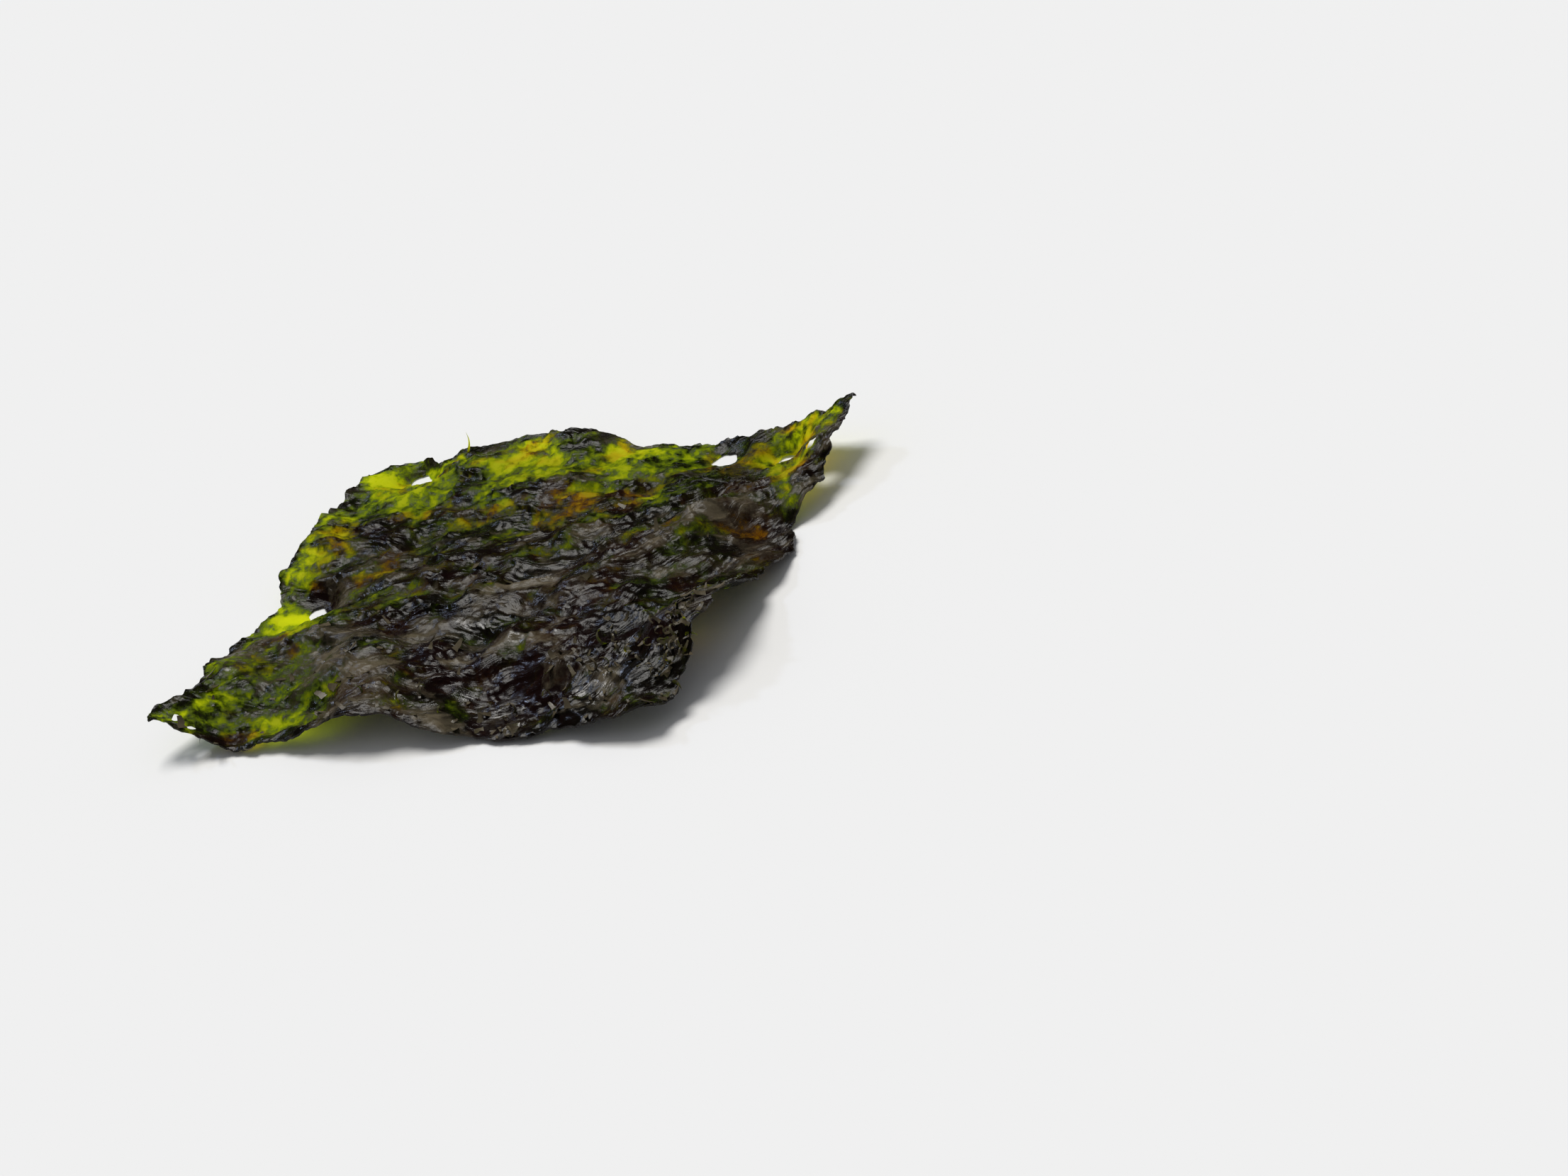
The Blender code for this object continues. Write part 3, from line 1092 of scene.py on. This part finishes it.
@dataclass
class LooseScraps:
    """Torn bits of blade that stand up from the sheet: flakes bent at one end, curls and hairs."""

    surface: BVHTree
    thickness: float = 0.07
    tear: float = 0.5
    taper: float = 0.55
    skew: float = 0.4
    twist: float = 0.6
    sunk: float = 0.04
    hair_sunk: float = 0.1
    hair_bow: float = 0.12
    floor_gap: float = 0.03
    highest: float = 8.6
    lowest_footing: float = 0.6
    rust: Pair = (0.0, 0.5)
    # How much painted grey sheen the scraps' colour carries, and their crest share, which adds to it.
    painted_sheen: Pair = (0.7, 1.2)
    crest: Pair = (0.6, 1.0)
    oil: float = 0.15
    seed: int = 21
    attributes: tuple[str, ...] = ("layers", "rust", "painted_sheen", "crest", "oil")

    def footing(self, x: float, y: float) -> tuple[Vector, Vector] | None:
        """Find the sheet's upper face at a place.

        Args:
            x, y: The place on the sheet.

        Returns:
            The point in millimetres and the direction that the face looks in, or None off the sheet.
        """
        point, normal, _, _ = self.surface.ray_cast(Vector((x, y, 50.0)) * MM, Vector((0.0, 0.0, -1.0)))
        if point is None:
            return None
        return point / MM, normal

    def strip(self, shape: Shape, kind: Scrap, draw: random.Random) -> list[Corner]:
        """Make one thin strip, bent and torn, with its root at the origin.

        Args:
            shape: The shape that takes it.
            kind: Whether it is a flake or a curl.
            draw: Where the random numbers come from.

        Returns:
            Its corners.
        """
        cut = kind.value
        length = draw.uniform(*cut.lengths)
        width = length * draw.uniform(*cut.widths)
        bend = draw.uniform(*cut.bends)
        made = bmesh.ops.create_grid(shape, x_segments=cut.steps, y_segments=2, size=0.5)["verts"]
        skew = draw.uniform(-self.skew, self.skew)
        twist = draw.uniform(-self.twist, self.twist)
        for corner in made:
            share = corner.co.x + 0.5
            torn = 1.0 + self.tear * noise.noise(Vector((share * 4.0, corner.co.y * 3.0, length * 31.0)))
            side = corner.co.y * width * torn * (1.0 - self.taper * share)
            angle = bend * share
            run = length * (math.sin(angle) / bend)
            rise = length * (1.0 - math.cos(angle)) / bend
            corner.co = Vector((run, side + skew * width * share, rise + twist * side * share))
        flat = list(dict.fromkeys(face for corner in made for face in corner.link_faces))
        raised = bmesh.ops.extrude_face_region(shape, geom=flat, use_keep_orig=True)["geom"]
        upper = [item for item in raised if isinstance(item, Corner)]
        for corner in made:
            corner.normal_update()
        for corner, twin in zip(made, upper):
            twin.co += Vector((0.0, 0.0, self.thickness))
        return made + upper

    def hair(self, shape: Shape, strand: Strand) -> None:
        """Make one tapering hair that grows out of the sheet.

        Args:
            shape: The shape that takes it.
            strand: Its root, its reach and its width.
        """
        footing = self.footing(strand.x, strand.y)
        if footing is None:
            log.warning("no sheet under the hair at %.1f, %.1f", strand.x, strand.y)
            return
        reach = Vector(strand.reach)
        side = reach.orthogonal().normalized()
        other = reach.normalized().cross(side)
        made = bmesh.ops.create_grid(shape, x_segments=8, y_segments=6, size=0.5)["verts"]
        # The hair's colour carries a little painted grey sheen.
        values = {"layers": strand.layers, "rust": 0.1, "painted_sheen": 0.4, "crest": 0.0, "oil": 0.0}
        for corner in made:
            share = corner.co.x + 0.5
            turn = (corner.co.y + 0.5) * math.tau
            radius = strand.width / 2 * (1.0 - share)
            bow = side * (self.hair_bow * reach.length * math.sin(math.pi * share))
            around = side * (radius * math.cos(turn)) + other * (radius * math.sin(turn))
            corner.co = footing[0] - Vector((0.0, 0.0, self.hair_sunk)) + reach * share + bow + around
            corner.co.z = max(self.floor_gap, corner.co.z)
            for name, value in values.items():
                corner[shape.verts.layers.float[name]] = value
        bmesh.ops.remove_doubles(shape, verts=made, dist=0.0005)

    def scatter(self, shape: Shape, kind: Scrap, clusters: dict[str, Cluster],
                draw: random.Random) -> None:
        """Scatter one kind of scrap over its clusters.

        Args:
            shape: The shape that takes them.
            kind: Whether they are flakes or curls.
            clusters: Where they gather.
            draw: Where the random numbers come from.
        """
        layers = [shape.verts.layers.float[name] for name in self.attributes]
        for cluster in clusters.values():
            for _ in range(cluster.count):
                x = draw.gauss(cluster.x, cluster.spread_x)
                footing = self.footing(x, draw.gauss(cluster.y, cluster.spread_y))
                ranges = (kind.value.layers, self.rust, self.painted_sheen, self.crest)
                values = [draw.uniform(*ends) for ends in ranges] + [self.oil]
                if footing is None or footing[0].z < self.lowest_footing:
                    continue
                corners = self.strip(shape, kind, draw)
                lean = footing[1].to_track_quat("Z", "Y").to_matrix()
                turn = Matrix.Rotation(draw.uniform(0.0, math.tau), 3, "Z")
                tip = Matrix.Rotation(draw.uniform(-0.3, 0.1), 3, "Y")
                for corner in corners:
                    corner.co = footing[0] + lean @ (turn @ (tip @ corner.co)) - footing[1] * self.sunk
                    corner.co.z = min(corner.co.z, self.highest)
                    for layer, value in zip(layers, values):
                        corner[layer] = value

    def build(self, finish: Finish) -> Thing:
        """Make all the scraps as one piece.

        Args:
            finish: The material that they wear.

        Returns:
            The finished object.
        """
        draw = random.Random(self.seed)
        shape = bmesh.new()
        for name in self.attributes:
            shape.verts.layers.float.new(name)
        self.scatter(shape, Scrap.FLAKE, SCRAPS, draw)
        self.scatter(shape, Scrap.CURL, CURLS, draw)
        for strand in STRANDS.values():
            self.hair(shape, strand)
        bmesh.ops.scale(shape, verts=shape.verts[:], vec=(MM, MM, MM))
        bmesh.ops.recalc_face_normals(shape, faces=shape.faces[:])
        return finished("laver_scraps", shape, finish)


@dataclass(frozen=True)
class Lamp:
    """An even light from far away, turned from straight behind towards the left."""

    name: str
    colour: str
    strength: float
    spread_deg: float
    azimuth_deg: float
    elevation_deg: float

    def hang(self) -> None:
        """Add the light to the scene."""
        data = bpy.data.lights.new(self.name, type="SUN")
        data.color = linear(self.colour)[:3]
        data.energy = self.strength
        data.angle = math.radians(self.spread_deg)
        azimuth = math.radians(self.azimuth_deg)
        elevation = math.radians(self.elevation_deg)
        source = Vector((-math.sin(azimuth) * math.cos(elevation), math.cos(azimuth) * math.cos(elevation),
                         math.sin(elevation)))
        made = bpy.data.objects.new(self.name, data)
        made.rotation_euler = source.to_track_quat("Z", "Y").to_euler()
        bpy.context.scene.collection.objects.link(made)


@dataclass(frozen=True)
class Studio:
    """The pale floor, soft light from behind and above, and the photograph's camera."""

    azimuth_deg: float = 31.5
    elevation_deg: float = 28.5
    roll_deg: float = -19.7
    distance: float = 512.6
    target: Pair = (37.2, -2.0)
    lens_mm: float = 100.0
    sensor_mm: float = 36.0
    floor_size: float = 6000.0
    floor_gap: float = 0.02
    sky: str = "f3f5fb"
    sky_strength: float = 0.26
    lamps: tuple[Lamp, ...] = (Lamp("softbox", "fffdf9", 2.42, 30.0, 40.0, 66.0),
                               Lamp("glint", "ccdcff", 0.36, 5.0, 62.0, 40.0))

    def camera(self) -> None:
        """Place the camera, turned about its own axis as the photograph's view of the sheet is."""
        azimuth = math.radians(self.azimuth_deg)
        elevation = math.radians(self.elevation_deg)
        towards = Vector((math.sin(azimuth) * math.cos(elevation), -math.cos(azimuth) * math.cos(elevation),
                          math.sin(elevation)))
        right = Vector((math.cos(azimuth), math.sin(azimuth), 0.0))
        turned = Matrix.Rotation(math.radians(self.roll_deg), 3, towards)
        right = turned @ right
        up = towards.cross(right)
        facing = Matrix((right, up, towards)).transposed()
        data = bpy.data.cameras.new("camera")
        data.lens = self.lens_mm
        data.sensor_width = self.sensor_mm
        camera = bpy.data.objects.new("camera", data)
        eye = Vector((*self.target, 0.0)) + towards * self.distance
        camera.matrix_world = Matrix.Translation(eye * MM) @ facing.to_4x4()
        bpy.context.scene.collection.objects.link(camera)
        bpy.context.scene.camera = camera

    def floor(self) -> Thing:
        """Make the pale floor.

        Returns:
            The floor's object.
        """
        shape = bmesh.new()
        bmesh.ops.create_grid(shape, x_segments=2, y_segments=2, size=self.floor_size * MM / 2)
        bmesh.ops.translate(shape, verts=shape.verts[:], vec=(0.0, 0.0, -self.floor_gap * MM))
        return finished("floor", shape, PaleFloor().material())

    def lights(self) -> None:
        """Light the floor evenly: softly from all round, and more from behind and above."""
        world = bpy.data.worlds.new("room")
        world.use_nodes = True
        background = world.node_tree.nodes["Background"]
        background.inputs["Color"].default_value = linear(self.sky)
        background.inputs["Strength"].default_value = self.sky_strength
        bpy.context.scene.world = world
        world.cycles_visibility.glossy = False
        for lamp in self.lamps:
            lamp.hang()
        bpy.context.scene.view_settings.view_transform = "Standard"


def main() -> None:
    """Build the sheet, its small pieces and the studio, in that order."""
    logging.basicConfig(level=logging.INFO, format="%(name)s: %(message)s")
    # Without a seed, noise_vector starts from the clock, and the creases change at each run.
    noise.seed_set(SWIRL_SEED)
    low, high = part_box(NODE)
    form = SheetForm(width=(high[0] - low[0]) / MM, depth=(high[1] - low[1]) / MM)
    laver = RoastedLaver().material()
    sheet = LaverSheet(form).build(laver)
    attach(sheet, BODY)
    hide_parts(NODE)
    log.info("sheet: %d faces", len(sheet.data.polygons))
    surface = BVHTree.FromPolygons([vertex.co for vertex in sheet.data.vertices],
                                   [polygon.vertices for polygon in sheet.data.polygons])
    scraps = LooseScraps(surface).build(laver)
    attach(scraps, BODY)
    log.info("scraps: %d faces", len(scraps.data.polygons))
    studio = Studio()
    studio.floor()
    studio.lights()
    studio.camera()
    log.info("studio set")
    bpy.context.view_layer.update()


if __name__ == "__main__":
    main()
